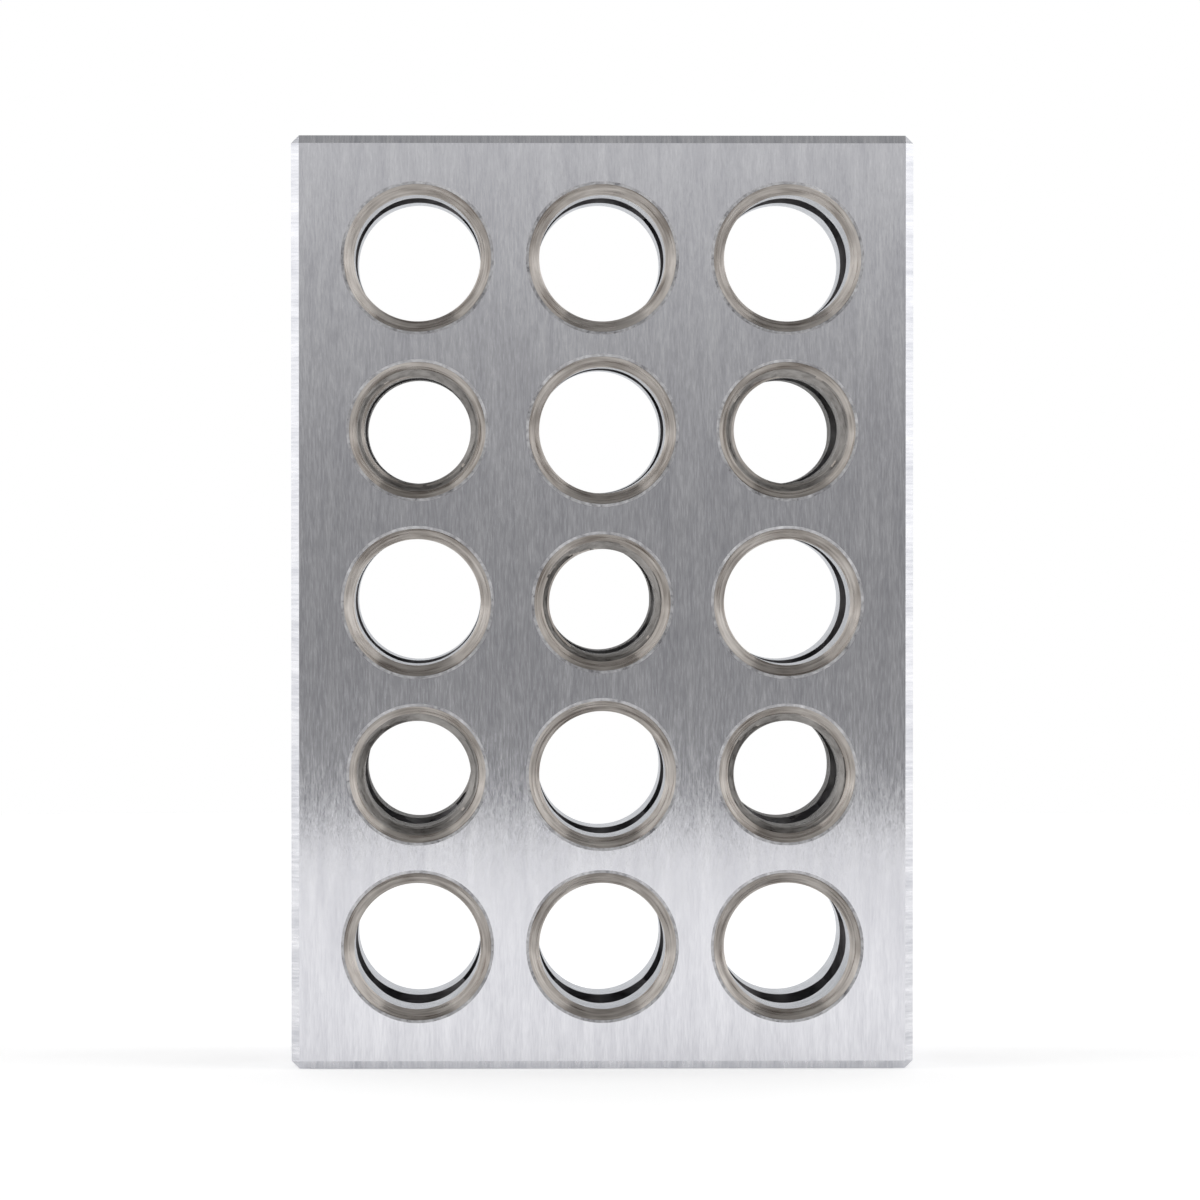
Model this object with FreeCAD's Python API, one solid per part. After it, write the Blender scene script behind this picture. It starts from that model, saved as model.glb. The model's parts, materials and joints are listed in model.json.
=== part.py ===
"""Machinist setup block: a ground steel 1-2-3 block with 23 holes.

One solid, standing on a small end.  X is the 2 inch width, Y the 1 inch thickness,
with the front face towards -Y, and Z the 3 inch length.  The origin is the centre of
the end that it stands on.

Fifteen holes cross the thickness, five cross the width and three run the whole length.
The last two sets lie in the mid-plane of the thickness, so they open into the others.
"""
import math
import os

import FreeCAD
import Part

INCH = 25.4

# Ground size of the block
width = 2 * INCH
thickness = 1 * INCH
length = 3 * INCH

# Bevel ground along all twelve edges, measured along each of the two faces
edge_bevel = 0.65

# Hole grid: how many, and how far the outer ones stand in from the ground faces
column_count = 3
row_count = 5
side_margin = 10.3
end_margin = 10.0

# Plain holes clear a 3/8 inch screw.  Tapped holes are cut at the drill for M10 x 1.5
plain_diameter = 13 / 32 * INCH
tap_drill_diameter = 8.7

# Countersinks: the cone's full angle, and the diameter of its rim at the ground face
countersink_angle = 90
plain_rim = 12.1
tapped_rim = 11.2
cross_rim = 13.3

# How far each drill and countersink runs out past the face, to leave a clean mouth
overrun = 1.0

AXIS_X = FreeCAD.Vector(1, 0, 0)
AXIS_Y = FreeCAD.Vector(0, 1, 0)
AXIS_Z = FreeCAD.Vector(0, 0, 1)


def spread(count, low, high):
    """This many positions, evenly spaced from low to high."""
    return [low + (high - low) * i / (count - 1) for i in range(count)]


def columns():
    reach = width / 2 - side_margin
    return spread(column_count, -reach, reach)


def rows():
    return spread(row_count, end_margin, length - end_margin)


def is_tapped(column, row):
    """The middle hole of the grid and its four diagonal neighbours are tapped."""
    across = abs(column - (column_count - 1) / 2)
    along = abs(row - (row_count - 1) / 2)
    return across == along and along <= 1


def ground_blank():
    """The block before drilling: a box with every edge bevelled."""
    low_corner = FreeCAD.Vector(-width / 2, -thickness / 2, 0)
    box = Part.makeBox(width, thickness, length, low_corner)
    return box.makeChamfer(edge_bevel, box.Edges)


def hole(middle, axis, depth, diameter, rim):
    """The metal taken out by one through hole and the countersinks at its two mouths."""
    slope = math.tan(math.radians(countersink_angle / 2))
    cone_depth = (rim - diameter) / 2 / slope
    mouth = depth / 2
    profile = [
        (0, -mouth - overrun),
        (rim / 2 + overrun * slope, -mouth - overrun),
        (diameter / 2, -mouth + cone_depth),
        (diameter / 2, mouth - cone_depth),
        (rim / 2 + overrun * slope, mouth + overrun),
        (0, mouth + overrun),
    ]
    points = [FreeCAD.Vector(radius, 0, along) for radius, along in profile]
    section = Part.Face(Part.makePolygon(points + points[:1]))
    cutter = section.revolve(FreeCAD.Vector(), AXIS_Z, 360)
    cutter.Placement = FreeCAD.Placement(middle, FreeCAD.Rotation(AXIS_Z, axis))
    return cutter


def thickness_holes():
    """The grid of holes from the front face to the back one, some of them tapped."""
    holes = []
    for i, x in enumerate(columns()):
        for j, z in enumerate(rows()):
            middle = FreeCAD.Vector(x, 0, z)
            if is_tapped(i, j):
                holes.append(hole(middle, AXIS_Y, thickness, tap_drill_diameter, tapped_rim))
            else:
                holes.append(hole(middle, AXIS_Y, thickness, plain_diameter, plain_rim))
    return holes


def width_holes():
    """One hole from side to side behind each row of the grid."""
    return [
        hole(FreeCAD.Vector(0, 0, z), AXIS_X, width, plain_diameter, cross_rim)
        for z in rows()
    ]


def length_holes():
    """One hole from end to end behind each column of the grid."""
    return [
        hole(FreeCAD.Vector(x, 0, length / 2), AXIS_Z, length, plain_diameter, cross_rim)
        for x in columns()
    ]


def setup_block():
    """The bevelled block with every hole cut through it."""
    return ground_blank().cut(thickness_holes() + width_holes() + length_holes())


def main():
    os.makedirs("parts", exist_ok=True)
    block = setup_block()
    print(f"solids {len(block.Solids)}, faces {len(block.Faces)}, valid {block.isValid()}")
    print(f"volume {block.Volume / 1000:.2f} cm3, steel {block.Volume * 7.85e-3:.0f} g")
    block.exportStep("parts/setup_block.step")


main()
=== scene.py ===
"""Looks of the machinist setup block: a ground steel 1-2-3 block with 23 holes.

The block is one closed mesh, cut in the order that the real one is made in: a bevelled
blank, drilled and countersunk from every side, with five holes tapped.  Each face then takes
the finish that the last tool left there.  All sizes are in metres.
"""

import json
import math
import random

import bmesh
import bpy
import numpy as np
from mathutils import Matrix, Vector


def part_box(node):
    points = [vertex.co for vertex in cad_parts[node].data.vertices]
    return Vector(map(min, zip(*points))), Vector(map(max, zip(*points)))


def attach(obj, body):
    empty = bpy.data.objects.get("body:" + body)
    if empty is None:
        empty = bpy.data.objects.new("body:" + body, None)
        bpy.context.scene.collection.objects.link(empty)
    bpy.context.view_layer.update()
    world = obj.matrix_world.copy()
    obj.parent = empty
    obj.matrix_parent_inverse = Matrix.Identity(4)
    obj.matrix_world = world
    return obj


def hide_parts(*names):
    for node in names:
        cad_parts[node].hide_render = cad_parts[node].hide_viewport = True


MM = 0.001

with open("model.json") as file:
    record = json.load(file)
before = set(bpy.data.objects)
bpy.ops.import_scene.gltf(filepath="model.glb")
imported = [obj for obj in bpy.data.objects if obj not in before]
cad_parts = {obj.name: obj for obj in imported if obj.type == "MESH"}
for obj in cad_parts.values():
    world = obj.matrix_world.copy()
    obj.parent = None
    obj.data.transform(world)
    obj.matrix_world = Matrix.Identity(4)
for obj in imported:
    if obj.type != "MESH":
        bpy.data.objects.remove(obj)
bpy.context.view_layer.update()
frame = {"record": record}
scene = bpy.context.scene

# Bevel ground along all twelve edges, measured along each face
EDGE_BEVEL = 0.65 * MM

# Countersinks are 90 degree cones, cut by a tool that left a groove at each step of its feed
FEED_MARK_PITCH = 0.35 * MM
FEED_MARK_DEPTH = 0.024 * MM
# Where in its step each groove lies, and its share of the full depth
FEED_MARK_PLACE = (0.35, 0.65)
FEED_MARK_SHARE = (0.5, 1.0)
FEED_MARK_SEED = 3

# Each mouth's edge is worn to a faint dished fringe
FRINGE_WIDTH = 0.22 * MM
FRINGE_DEPTH = 0.03 * MM
# How far the fringe's cutter stands above the face, so that it leaves a clean edge
FRINGE_LIFT = 0.1 * FRINGE_DEPTH

# Thread of the tapped holes, M10 x 1.5, with its crests left by the tap drill
THREAD_PITCH = 1.5 * MM
THREAD_MAJOR_RADIUS = 5.0 * MM
THREAD_ROOT_FLAT = THREAD_PITCH / 8
THREAD_FLANK_ANGLE = math.radians(30)
# The drill is held this much inside the crests, which the tap cuts
DRILL_CLEARANCE = 0.02 * MM

# Flats that stand for a circle, and how far the cutters run out past the faces
SEGMENTS = 96
OVERRUN = 1.0 * MM

# Finishes, in the order of the block's material slots
FACE, BEVEL, COUNTERSINK, BORE, THREAD, LONG_BORE, FRINGE = range(7)


# ---------------------------------------------------------------- form

class Hole:
    """One hole right through the block, as its mount in the record gives it."""

    def __init__(self, mount, low, high):
        self.threaded = mount["kind"] == "threaded_hole"
        self.middle = Vector(mount["pos_m"])
        self.axis = Vector(mount["axis"])
        self.radius = mount["dims"]["r_mm"] * MM
        self.half_wall = mount["dims"]["length_mm"] * MM / 2
        self.half_depth = abs(self.axis.dot(high - low)) / 2
        self.rim = self.radius + self.half_depth - self.half_wall
        self.turn = Vector((0, 0, 1)).rotation_difference(self.axis)

    def place(self, radius, angle, along):
        """A point of the block from its radius, angle and distance along this hole."""
        local = Vector((radius * math.cos(angle), radius * math.sin(angle), along))
        return self.middle + self.turn @ local


def mesh_object(name, points, faces):
    mesh = bpy.data.meshes.new(name)
    mesh.from_pydata(points, [], faces)
    obj = bpy.data.objects.new(name, mesh)
    scene.collection.objects.link(obj)
    return obj


def ground_blank(low, high):
    """The block before drilling: a box with every edge bevelled."""
    form = bmesh.new()
    bmesh.ops.create_cube(form, size=1)
    bmesh.ops.scale(form, vec=high - low, verts=form.verts)
    bmesh.ops.translate(form, vec=(low + high) / 2, verts=form.verts)
    bmesh.ops.bevel(form, geom=form.edges[:], offset=EDGE_BEVEL, segments=1, affect="EDGES")
    blank = mesh_object("blank", [], [])
    form.to_mesh(blank.data)
    form.free()
    return blank


def countersink_profile(hole, draw):
    """(radius, distance along) from outside a mouth down to the bore: the worn fringe, then
    the cone with a shallow groove for each turn of the tool's feed."""
    slant = math.sqrt(2) * (hole.rim - hole.radius)
    marks = round(slant / FEED_MARK_PITCH)
    points = [
        (hole.rim + FRINGE_WIDTH, hole.half_depth + OVERRUN),
        (hole.rim + FRINGE_WIDTH, hole.half_depth + FRINGE_LIFT),
        (hole.rim - FRINGE_DEPTH, hole.half_depth - FRINGE_DEPTH),
    ]
    for i in range(marks):
        depth = (i + draw.uniform(*FEED_MARK_PLACE)) / marks * (hole.rim - hole.radius)
        sink = draw.uniform(*FEED_MARK_SHARE) * FEED_MARK_DEPTH / math.sqrt(2)
        points.append((hole.rim - depth + sink, hole.half_depth - depth - sink))
        depth = (i + 1) / marks * (hole.rim - hole.radius)
        points.append((hole.rim - depth, hole.half_depth - depth))
    return points


def turned_cutter(hole, draw):
    """The metal that the drill and the countersinks take out, turned about the hole's axis."""
    near = [(radius, -along) for radius, along in countersink_profile(hole, draw)]
    far = countersink_profile(hole, draw)[::-1]
    if hole.threaded:
        near[-1] = (hole.radius - DRILL_CLEARANCE, near[-1][1] + DRILL_CLEARANCE)
        far[0] = (hole.radius - DRILL_CLEARANCE, far[0][1] - DRILL_CLEARANCE)
    profile = near + far
    points = [
        hole.place(radius, 2 * math.pi * (i + 0.5) / SEGMENTS, along)
        for radius, along in profile
        for i in range(SEGMENTS)
    ]
    faces = [list(range(SEGMENTS))[::-1]]
    for ring in range(len(profile) - 1):
        for i in range(SEGMENTS):
            first = ring * SEGMENTS + i
            second = ring * SEGMENTS + (i + 1) % SEGMENTS
            faces.append([first, second, second + SEGMENTS, first + SEGMENTS])
    faces.append(list(range(len(points) - SEGMENTS, len(points))))
    return mesh_object("drill", points, faces)


def thread_cutter(hole):
    """The tap's cut: a helical groove with straight flanks, flat at its root and crest."""
    flank = (THREAD_MAJOR_RADIUS - hole.radius) * math.tan(THREAD_FLANK_ANGLE)
    crest = THREAD_PITCH - THREAD_ROOT_FLAT - 2 * flank
    steps = [
        (0, hole.radius),
        (crest, hole.radius),
        (crest + flank, THREAD_MAJOR_RADIUS),
        (crest + flank + THREAD_ROOT_FLAT, THREAD_MAJOR_RADIUS),
    ]
    turns = math.ceil(2 * (hole.half_depth + OVERRUN) / THREAD_PITCH) + 2
    rows = turns * len(steps)
    index = {}
    points = []
    for column in range(SEGMENTS):
        # Column 0 goes on for a turn more, because each row ends where the one a turn on begins
        for row in range(rows + 1 + (len(steps) if column == 0 else 0)):
            rise, radius = steps[row % len(steps)]
            along = (row // len(steps) + column / SEGMENTS - turns / 2 - 0.5) * THREAD_PITCH + rise
            index[column, row] = len(points)
            points.append(hole.place(radius, 2 * math.pi * column / SEGMENTS, along))
    for row in range(rows + 1):
        index[SEGMENTS, row] = index[0, row + len(steps)]
    faces = [
        [index[i, j], index[i + 1, j], index[i + 1, j + 1], index[i, j + 1]]
        for j in range(rows)
        for i in range(SEGMENTS)
    ]
    for row in (0, rows):
        loop = [index[i, row] for i in range(SEGMENTS + 1)]
        loop += [index[0, row + k] for k in range(len(steps) - 1, 0, -1)]
        centre = len(points)
        points.append(sum((points[k] for k in loop), Vector()) / len(loop))
        for k, l in zip(loop, loop[1:] + loop[:1]):
            faces.append([l, k, centre] if row == 0 else [k, l, centre])
    return mesh_object("tap", points, faces)


def cut(blank, cutters):
    """The blank with every cutter's metal taken out, as a new object."""
    for cutter in cutters:
        step = blank.modifiers.new("cut", "BOOLEAN")
        step.operation = "DIFFERENCE"
        step.solver = "MANIFOLD"
        step.object = cutter
    shown = blank.evaluated_get(bpy.context.evaluated_depsgraph_get())
    block = bpy.data.objects.new("setup_block_ground", bpy.data.meshes.new_from_object(shown))
    scene.collection.objects.link(block)
    for scrap in [blank, *cutters]:
        bpy.data.objects.remove(scrap)
    return block


# ---------------------------------------------------------------- where each finish lies

# How near a polygon's centre lies to a flat side, a bore wall and a cone
SIDE_FIT = 0.001 * MM
WALL_FIT = 0.01 * MM
CONE_FIT = 0.03 * MM
# How much a wrong slope counts against a fit, and how far a thread's own slopes count
SLOPE_COST = 3
THREAD_COST = 0.5
# A direction is along an axis when its share of it is above these
MOSTLY = 0.5
NEARLY_ALL = 0.95
SQUARE_ON = 0.99
CONE_SHARE = math.sqrt(0.5)
# Millimetres that part the marks of one side or hole from those of the next
MARKS_APART = 40
# Edges that turn more than this stay sharp
SHARP_ANGLE = math.radians(28)


def corners(mesh):
    """Corner positions, the polygon that each belongs to, and polygon centres and normals."""
    points = np.empty(len(mesh.vertices) * 3)
    mesh.vertices.foreach_get("co", points)
    vertex = np.empty(len(mesh.loops), int)
    mesh.loops.foreach_get("vertex_index", vertex)
    count = np.empty(len(mesh.polygons), int)
    mesh.polygons.foreach_get("loop_total", count)
    centre = np.empty(len(mesh.polygons) * 3)
    mesh.polygons.foreach_get("center", centre)
    normal = np.empty(len(mesh.polygons) * 3)
    mesh.polygons.foreach_get("normal", normal)
    owner = np.repeat(np.arange(len(count)), count)
    return points.reshape(-1, 3)[vertex], owner, centre.reshape(-1, 3), normal.reshape(-1, 3)


def hole_parts(hole, points):
    """Distance along a hole's axis, radius and angle of each point."""
    turn = np.array(hole.turn.to_matrix())
    local = (points - np.array(hole.middle)) @ turn
    return local[:, 2], np.hypot(local[:, 0], local[:, 1]), np.arctan2(local[:, 1], local[:, 0])


def sort_faces(centre, normal, low, high, holes):
    """The finish of each polygon, and the number of its hole, or -1."""
    finish = np.full(len(centre), FACE)
    owner = np.full(len(centre), -1)
    near_sides = np.minimum(centre - low, high - centre) < EDGE_BEVEL
    tilted = np.abs(normal) > MOSTLY
    finish[(near_sides & tilted).sum(1) >= 2] = BEVEL
    on_side = (np.minimum(centre - low, high - centre) < SIDE_FIT) & (np.abs(normal) > SQUARE_ON)
    inside = ~on_side.any(1) & (finish != BEVEL)
    best = np.full(len(centre), np.inf)
    for number, hole in enumerate(holes):
        along, radius, _ = hole_parts(hole, centre)
        axial = np.abs(normal @ np.array(hole.axis))
        cone = np.abs(radius - hole.radius - np.abs(along) + hole.half_wall)
        cone_miss = cone / CONE_FIT + np.abs(axial - CONE_SHARE) * SLOPE_COST
        cone_miss[np.abs(along) < hole.half_wall - WALL_FIT] = np.inf
        fringe = np.abs(radius - hole.rim - FRINGE_WIDTH / 2) < FRINGE_WIDTH
        fringe &= (np.abs(along) > hole.half_depth - 2 * FRINGE_DEPTH) & (axial > NEARLY_ALL)
        cone_miss[fringe] = 0
        if hole.threaded:
            outside = np.maximum(hole.radius - radius, radius - THREAD_MAJOR_RADIUS).clip(0)
            wall_miss = outside / WALL_FIT + THREAD_COST
            kind = THREAD
        else:
            wall_miss = np.abs(radius - hole.radius) / WALL_FIT + axial * SLOPE_COST
            kind = BORE if abs(hole.axis.y) > MOSTLY else LONG_BORE
        wall_miss[np.abs(along) > hole.half_depth] = np.inf
        miss = np.minimum(cone_miss, wall_miss)
        closer = inside & (miss < best)
        best[closer] = miss[closer]
        owner[closer] = number
        finish[closer] = np.where(cone_miss < wall_miss, COUNTERSINK, kind)[closer]
        finish[closer & fringe] = FRINGE
    return finish, owner


def lay_of_faces(mesh, finish, owner, holes):
    """Coordinates in millimetres that follow the lay, the run of the fine lines that a tool
    leaves: first across the lines, then two along them.  And the same flattened to a map."""
    points, polygon, _, normal = corners(mesh)
    kind, number = finish[polygon], owner[polygon]
    facing = np.abs(normal).argmax(1)[polygon]
    lay = np.zeros((len(points), 3))
    flat = np.zeros((len(points), 2))
    x, y, z = (points / MM).T
    # Faces are ground along the length, and the small ends along the width
    across = np.choose(facing, [y, x, y])
    along = np.choose(facing, [z, z, x])
    side = facing + 3 * (normal[polygon, facing] > 0)
    lay[:] = np.stack([across, along, MARKS_APART * side], 1)
    # Bevels are ground crosswise, so across their lines is along the edge
    edge = np.abs(normal).argmin(1)[polygon]
    bevel = kind == BEVEL
    lay[bevel, 0] = np.choose(edge, [x, y, z])[bevel]
    lay[bevel, 1] = np.choose(edge, [y, z, x])[bevel]
    flat[:] = lay[:, :2]
    for index, hole in enumerate(holes):
        mine = number == index
        depth, radius, angle = hole_parts(hole, points[mine])
        # Angles run on from each polygon's first corner, so that none is torn where they wrap
        _, first, which = np.unique(polygon[mine], return_index=True, return_inverse=True)
        start = angle[first][which]
        unwrapped = start + (angle - start + math.pi) % (2 * math.pi) - math.pi
        around = np.stack([radius * np.cos(angle), radius * np.sin(angle)], 1) / MM
        lay[mine, 0] = depth / MM + MARKS_APART * index
        lay[mine, 1:] = around
        flat[mine, 0] = depth / MM
        flat[mine, 1] = unwrapped * hole.radius / MM
    return lay, flat


def dress_block(block, low, high, holes, materials):
    """Gives each polygon its finish, its lay, and smooth shading between sharp borders."""
    mesh = block.data
    _, polygon, centre, normal = corners(mesh)
    finish, owner = sort_faces(centre, normal, np.array(low), np.array(high), holes)
    mesh.materials.clear()
    for material in materials:
        mesh.materials.append(material)
    mesh.polygons.foreach_set("material_index", finish.astype(np.int32))
    lay, flat = lay_of_faces(mesh, finish, owner, holes)
    field = mesh.attributes.new("lay", "FLOAT_VECTOR", "CORNER")
    field.data.foreach_set("vector", lay.astype(np.float32).ravel())
    cover = mesh.uv_layers.new(name="lay_map")
    cover.uv.foreach_set("vector", flat.astype(np.float32).ravel())
    mesh.shade_smooth()
    mesh.set_sharp_from_angle(angle=SHARP_ANGLE)
    mark_borders(mesh, finish * (len(holes) + 1) + owner, polygon)
    mesh.update()


def mark_borders(mesh, surface, polygon):
    """Makes every edge sharp where one surface meets another."""
    edge = np.empty(len(mesh.loops), int)
    mesh.loops.foreach_get("edge_index", edge)
    lowest = np.full(len(mesh.edges), surface.max())
    highest = np.full(len(mesh.edges), surface.min())
    np.minimum.at(lowest, edge, surface[polygon])
    np.maximum.at(highest, edge, surface[polygon])
    sharp = mesh.attributes.get("sharp_edge") or mesh.attributes.new("sharp_edge", "BOOLEAN", "EDGE")
    values = np.empty(len(mesh.edges), bool)
    sharp.data.foreach_get("value", values)
    sharp.data.foreach_set("value", values | (lowest != highest))


# ---------------------------------------------------------------- finishes

def linear(colour):
    """Linear red, green and blue, and full alpha, from a hex sRGB colour."""
    parts = [int(colour[i:i + 2], 16) / 255 for i in (1, 3, 5)]
    return [c / 12.92 if c <= 0.04045 else ((c + 0.055) / 1.055) ** 2.4 for c in parts] + [1]


def add(tree, kind, settings=None, links=None):
    """Adds a node.  Settings are its properties or its sockets' values, links feed sockets."""
    node = tree.nodes.new("ShaderNode" + kind)
    for key, value in (settings or {}).items():
        if isinstance(key, str) and hasattr(node, key):
            setattr(node, key, value)
        else:
            node.inputs[key].default_value = value
    for key, source in (links or {}).items():
        tree.links.new(source, node.inputs[key])
    return node


# The part of the noise's range that the marks take up, and the patches' share of the tint
NOISE_LOW = 0.3
NOISE_HIGH = 0.7
PATCH_SHARE = 0.5


def steel(name, colours, roughness, anisotropic, lines, patches, depth):
    """A steel surface under the marks of its last tool.  lines and patches give the width
    and length of each in millimetres, and their noise is drawn out along the lay.  Both tint
    the colour, the lines set the roughness, and depth is theirs in metres.  The reflections
    spread across the lay."""
    material = bpy.data.materials.new(name)
    material.use_nodes = True
    tree = material.node_tree
    tree.nodes.clear()
    lay = add(tree, "Attribute", {"attribute_name": "lay"})
    marks = []
    for across, along in (lines, patches):
        stretched = add(
            tree, "VectorMath", {"operation": "MULTIPLY", 1: (1 / across, 1 / along, 1 / along)},
            {0: lay.outputs["Vector"]},
        )
        noise = add(
            tree, "TexNoise", {"Scale": 1.0, "Detail": 2.0, "Roughness": 0.6},
            {"Vector": stretched.outputs[0]},
        )
        spread = add(
            tree, "MapRange", {"From Min": NOISE_LOW, "From Max": NOISE_HIGH},
            {"Value": noise.outputs["Fac"]},
        )
        marks.append(spread.outputs["Result"])
    tint = add(tree, "Mix", {"data_type": "FLOAT", 0: PATCH_SHARE}, {2: marks[0], 3: marks[1]})
    colour = add(
        tree, "Mix", {"data_type": "RGBA", 6: linear(colours[0]), 7: linear(colours[1])},
        {0: tint.outputs[0]},
    )
    rough = add(tree, "MapRange", {"To Min": roughness[0], "To Max": roughness[1]}, {"Value": marks[0]})
    bump = add(tree, "Bump", {"Strength": 1.0, "Distance": depth}, {"Height": marks[0]})
    tangent = add(tree, "Tangent", {"direction_type": "UV_MAP", "uv_map": "lay_map"})
    surface = add(
        tree, "BsdfPrincipled", {"Metallic": 1.0, "Anisotropic": anisotropic},
        {
            "Base Color": colour.outputs[2], "Roughness": rough.outputs["Result"],
            "Normal": bump.outputs["Normal"], "Tangent": tangent.outputs["Tangent"],
        },
    )
    add(tree, "OutputMaterial", None, {"Surface": surface.outputs["BSDF"]})
    return material


def finishes():
    """One material for each finish, in the order of their slots."""
    return [
        # Hardened tool steel off a surface grinder: silver grey, a near mirror along the fine
        # lines and a soft sheen across them.  The lines are about 0.05 mm wide and are drawn
        # over twice as coarse, because finer ones would not show
        steel(
            "ground_tool_steel", colours=("#C9C9CF", "#E6E6EA"), roughness=(0.1, 0.2), anisotropic=1.0,
            lines=(0.13, 1.2), patches=(1.0, 9.0), depth=0.0015 * MM,
        ),
        # The same steel ground across the bevels: bands across the edge, a little rougher.  Its colour is
        # set darker than the faces', painted shade that keeps the bevels from washing out to white under
        # the soft boxes
        steel(
            "hand_ground_bevel", colours=("#B4B5BB", "#DEDEE1"), roughness=(0.18, 0.3), anisotropic=0.6,
            lines=(0.2, 2.0), patches=(1.6, 4.0), depth=0.003 * MM,
        ),
        # Turned cones: rings of fine feed marks, faintly brown where cutting oil dried
        steel(
            "turned_countersink", colours=("#746A62", "#EBE5DF"), roughness=(0.22, 0.42), anisotropic=0.95,
            lines=(0.16, 6.0), patches=(0.8, 3.5), depth=0.006 * MM,
        ),
        # Reamed bore walls: cool grey, with rings and a few smears
        steel(
            "reamed_bore", colours=("#9A9EA6", "#C6CAD1"), roughness=(0.2, 0.42), anisotropic=0.4,
            lines=(0.15, 4.0), patches=(3.0, 1.2), depth=0.004 * MM,
        ),
        # Cut threads: torn a little on the flanks, and a darker grey all over than the bores
        steel(
            "tapped_thread", colours=("#5C5957", "#A8A5A2"), roughness=(0.25, 0.45), anisotropic=0.3,
            lines=(0.15, 0.8), patches=(0.8, 3.0), depth=0.004 * MM,
        ),
        # Long holes as the drill left them: dark grey and rough, with scale from hardening
        steel(
            "drilled_bore", colours=("#4E4C4D", "#7B797B"), roughness=(0.35, 0.55), anisotropic=0.3,
            lines=(0.2, 3.0), patches=(2.0, 1.5), depth=0.006 * MM,
        ),
        # The edge of each mouth, rubbed dull and pale by screws and by burrs taken off
        steel(
            "scuffed_mouth", colours=("#77767A", "#DEDEE0"), roughness=(0.25, 0.55), anisotropic=0.0,
            lines=(0.15, 0.35), patches=(0.6, 2.0), depth=0.006 * MM,
        ),
    ]


# ---------------------------------------------------------------- studio

# The pale table reaches this far around the block, and the dim room shows beyond it
TABLE_REACH = 0.456
TABLE_SEGMENTS = 128
# It lies a hair below the foot, so that the two never share a plane
TABLE_DROP = 0.02 * MM
# Share of full white that the lamps alone give the table
TABLE_LIT = 0.6
# Share of the foot's half size that the table's glow leaves dark: the bevels stand clear of it
FOOT_SHARE = 0.94

# Brightness of the room by the sine of the height above the horizon
ROOM_BY_HEIGHT = [
    (-0.2, 0.40), (-0.035, 0.34), (-0.02, 0.32), (-0.005, 0.33), (0.01, 0.40),
    (0.03, 0.52), (0.045, 0.68), (0.08, 0.8), (0.25, 0.55), (0.6, 0.42), (1.0, 0.42),
]

# Where the white wall behind the block begins and is full, by the sine of its direction
WALL_BEGINS = 0.6
WALL_FULL = 0.8

# Large soft lamps: name, place, what each points at, size, and brightness, white being 1
SOFT_BOXES = [
    ("left_soft_box", (-0.7, -0.1, 0.52), (0, -0.1, 0.52), (1.2, 1.0), 0.98),
    ("right_soft_box", (0.7, -0.1, 0.52), (0, -0.1, 0.52), (1.2, 1.0), 1.06),
    ("overhead_soft_box", (0, 0.35, 0.85), (0, 0, 0.04), (0.6, 0.3), 0.8),
]

# Where the camera stands, from the middle of the block's foot
CAMERA_PLACE = Vector((-0.0098, -0.6087, 0.0478))
# Height of the picture at the block, and the width of the camera's sensor in millimetres
PICTURE_HEIGHT = 0.1
SENSOR_WIDTH = 36


def table(half_size):
    """A matt white table top.  What its lamps leave short of white it shows to eyes and
    mirrors only, which lights nothing, and it keeps the block's shadow.  Under the block's
    foot, of this half size, it shows none."""
    angles = [2 * math.pi * i / TABLE_SEGMENTS for i in range(TABLE_SEGMENTS)]
    points = [(TABLE_REACH * math.cos(angle), TABLE_REACH * math.sin(angle), 0) for angle in angles]
    top = mesh_object("table", points, [list(range(TABLE_SEGMENTS))])
    top.location.z = -TABLE_DROP
    material = bpy.data.materials.new("matt_white_table")
    material.use_nodes = True
    tree = material.node_tree
    tree.nodes.clear()
    paint = add(tree, "BsdfDiffuse", {"Color": linear("#EBEBEB")})
    path = add(tree, "LightPath")
    seen = add(
        tree, "Math", {"operation": "MAXIMUM"},
        {0: path.outputs["Is Camera Ray"], 1: path.outputs["Is Glossy Ray"]},
    )
    place = add(tree, "NewGeometry")
    feet = add(
        tree, "VectorMath", {"operation": "DIVIDE", 1: (half_size.x, half_size.y, 1)},
        {0: place.outputs["Position"]},
    )
    away = add(tree, "VectorMath", {"operation": "ABSOLUTE"}, {0: feet.outputs[0]})
    ways = add(tree, "SeparateXYZ", None, {0: away.outputs[0]})
    furthest = add(tree, "Math", {"operation": "MAXIMUM"}, {0: ways.outputs["X"], 1: ways.outputs["Y"]})
    clear = add(tree, "Math", {"operation": "GREATER_THAN", 1: FOOT_SHARE}, {0: furthest.outputs[0]})
    share = add(tree, "Math", {"operation": "MULTIPLY"}, {0: seen.outputs[0], 1: clear.outputs[0]})
    strength = add(tree, "Math", {"operation": "MULTIPLY", 1: 1 - TABLE_LIT}, {0: share.outputs[0]})
    glow = add(tree, "Emission", {"Color": (1, 1, 1, 1)}, {"Strength": strength.outputs[0]})
    both = add(tree, "AddShader", None, {0: paint.outputs[0], 1: glow.outputs[0]})
    add(tree, "OutputMaterial", None, {"Surface": both.outputs[0]})
    top.data.materials.append(material)


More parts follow.
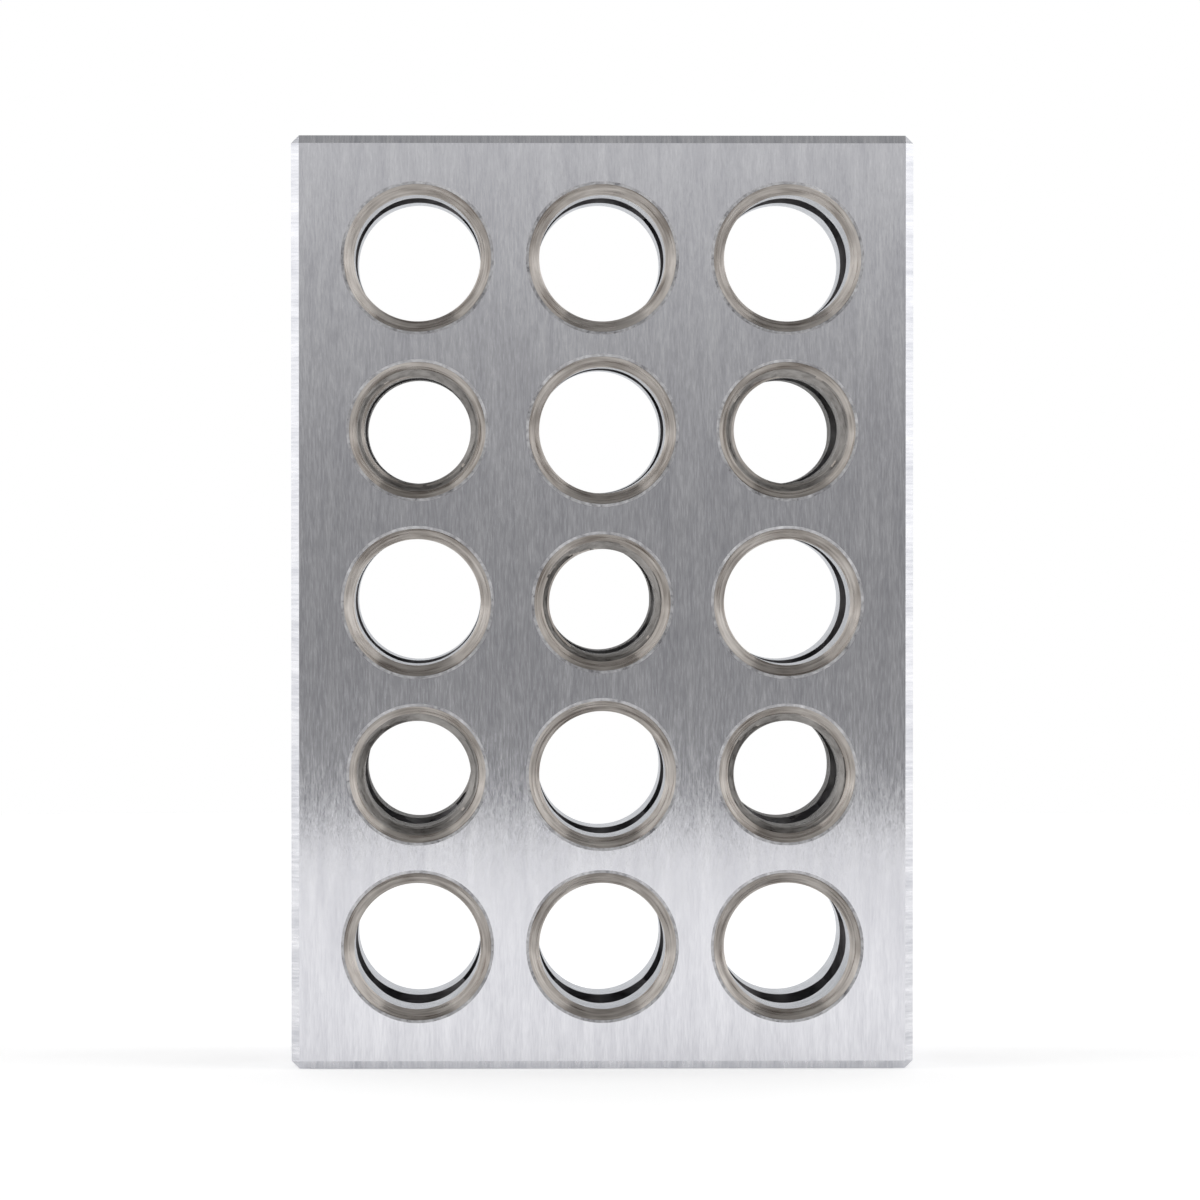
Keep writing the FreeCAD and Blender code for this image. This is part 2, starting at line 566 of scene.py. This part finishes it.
def room():
    """The room that the steel mirrors: dim at the height of the lens, brighter above it, with
    a white wall behind the block.  To the camera itself it is plain white."""
    world = bpy.data.worlds.new("studio")
    scene.world = world
    world.use_nodes = True
    tree = world.node_tree
    tree.nodes.clear()
    way = add(tree, "TexCoord")
    parts = add(tree, "SeparateXYZ", None, {"Vector": way.outputs["Generated"]})
    lowest = ROOM_BY_HEIGHT[0][0]
    highest = ROOM_BY_HEIGHT[-1][0]
    rise = add(
        tree, "MapRange", {"From Min": lowest, "From Max": highest}, {"Value": parts.outputs["Z"]}
    )
    height = add(tree, "ValToRGB", None, {"Fac": rise.outputs["Result"]})
    ramp = height.color_ramp
    ramp.elements.remove(ramp.elements[1])
    for number, (z, brightness) in enumerate(ROOM_BY_HEIGHT):
        place = (z - lowest) / (highest - lowest)
        element = ramp.elements.new(place) if number else ramp.elements[0]
        element.position = place
        element.color = (brightness, brightness, brightness, 1)
    wall = add(
        tree, "MapRange", {"From Min": WALL_BEGINS, "From Max": WALL_FULL},
        {"Value": parts.outputs["Y"]},
    )
    path = add(tree, "LightPath")
    white = add(
        tree, "Math", {"operation": "MAXIMUM"},
        {0: path.outputs["Is Camera Ray"], 1: wall.outputs["Result"]},
    )
    shown = add(
        tree, "Mix", {"data_type": "RGBA", 7: (1, 1, 1, 1)},
        {0: white.outputs[0], 6: height.outputs["Color"]},
    )
    back = add(tree, "Background", {"Strength": 1.0}, {"Color": shown.outputs[2]})
    add(tree, "OutputWorld", None, {"Surface": back.outputs[0]})


def soft_box(name, place, aim, size, brightness):
    """A rectangular lamp.  Brightness is what a mirror would show of it, white being 1."""
    lamp = bpy.data.lights.new(name, "AREA")
    lamp.shape = "RECTANGLE"
    lamp.size, lamp.size_y = size
    lamp.energy = brightness * math.pi * size[0] * size[1]
    obj = bpy.data.objects.new(name, lamp)
    obj.location = place
    obj.rotation_euler = (Vector(aim) - Vector(place)).to_track_quat("-Z", "Z").to_euler()
    obj.visible_camera = False
    scene.collection.objects.link(obj)


def camera(middle):
    """Stands where the block is seen almost square on, and aims at its middle."""
    eye = bpy.data.cameras.new("camera")
    distance = (CAMERA_PLACE - middle).length
    eye.sensor_width = SENSOR_WIDTH
    eye.lens = eye.sensor_width * distance / PICTURE_HEIGHT
    obj = bpy.data.objects.new("camera", eye)
    obj.location = CAMERA_PLACE
    obj.rotation_euler = (middle - CAMERA_PLACE).to_track_quat("-Z", "Y").to_euler()
    scene.collection.objects.link(obj)
    scene.camera = obj


def main():
    low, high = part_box("setup_block")
    holes = [
        Hole(mount, low, high)
        for mount in frame["record"]["mounts"]
        if mount["kind"] in ("bore", "threaded_hole")
    ]
    draw = random.Random(FEED_MARK_SEED)
    cutters = [turned_cutter(hole, draw) for hole in holes]
    cutters += [thread_cutter(hole) for hole in holes if hole.threaded]
    block = cut(ground_blank(low, high), cutters)
    dress_block(block, low, high, holes, finishes())
    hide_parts("setup_block")
    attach(block, "root")
    table((high - low) / 2)
    room()
    for box in SOFT_BOXES:
        soft_box(*box)
    camera((low + high) / 2)


main()
scene.view_settings.view_transform = "Standard"
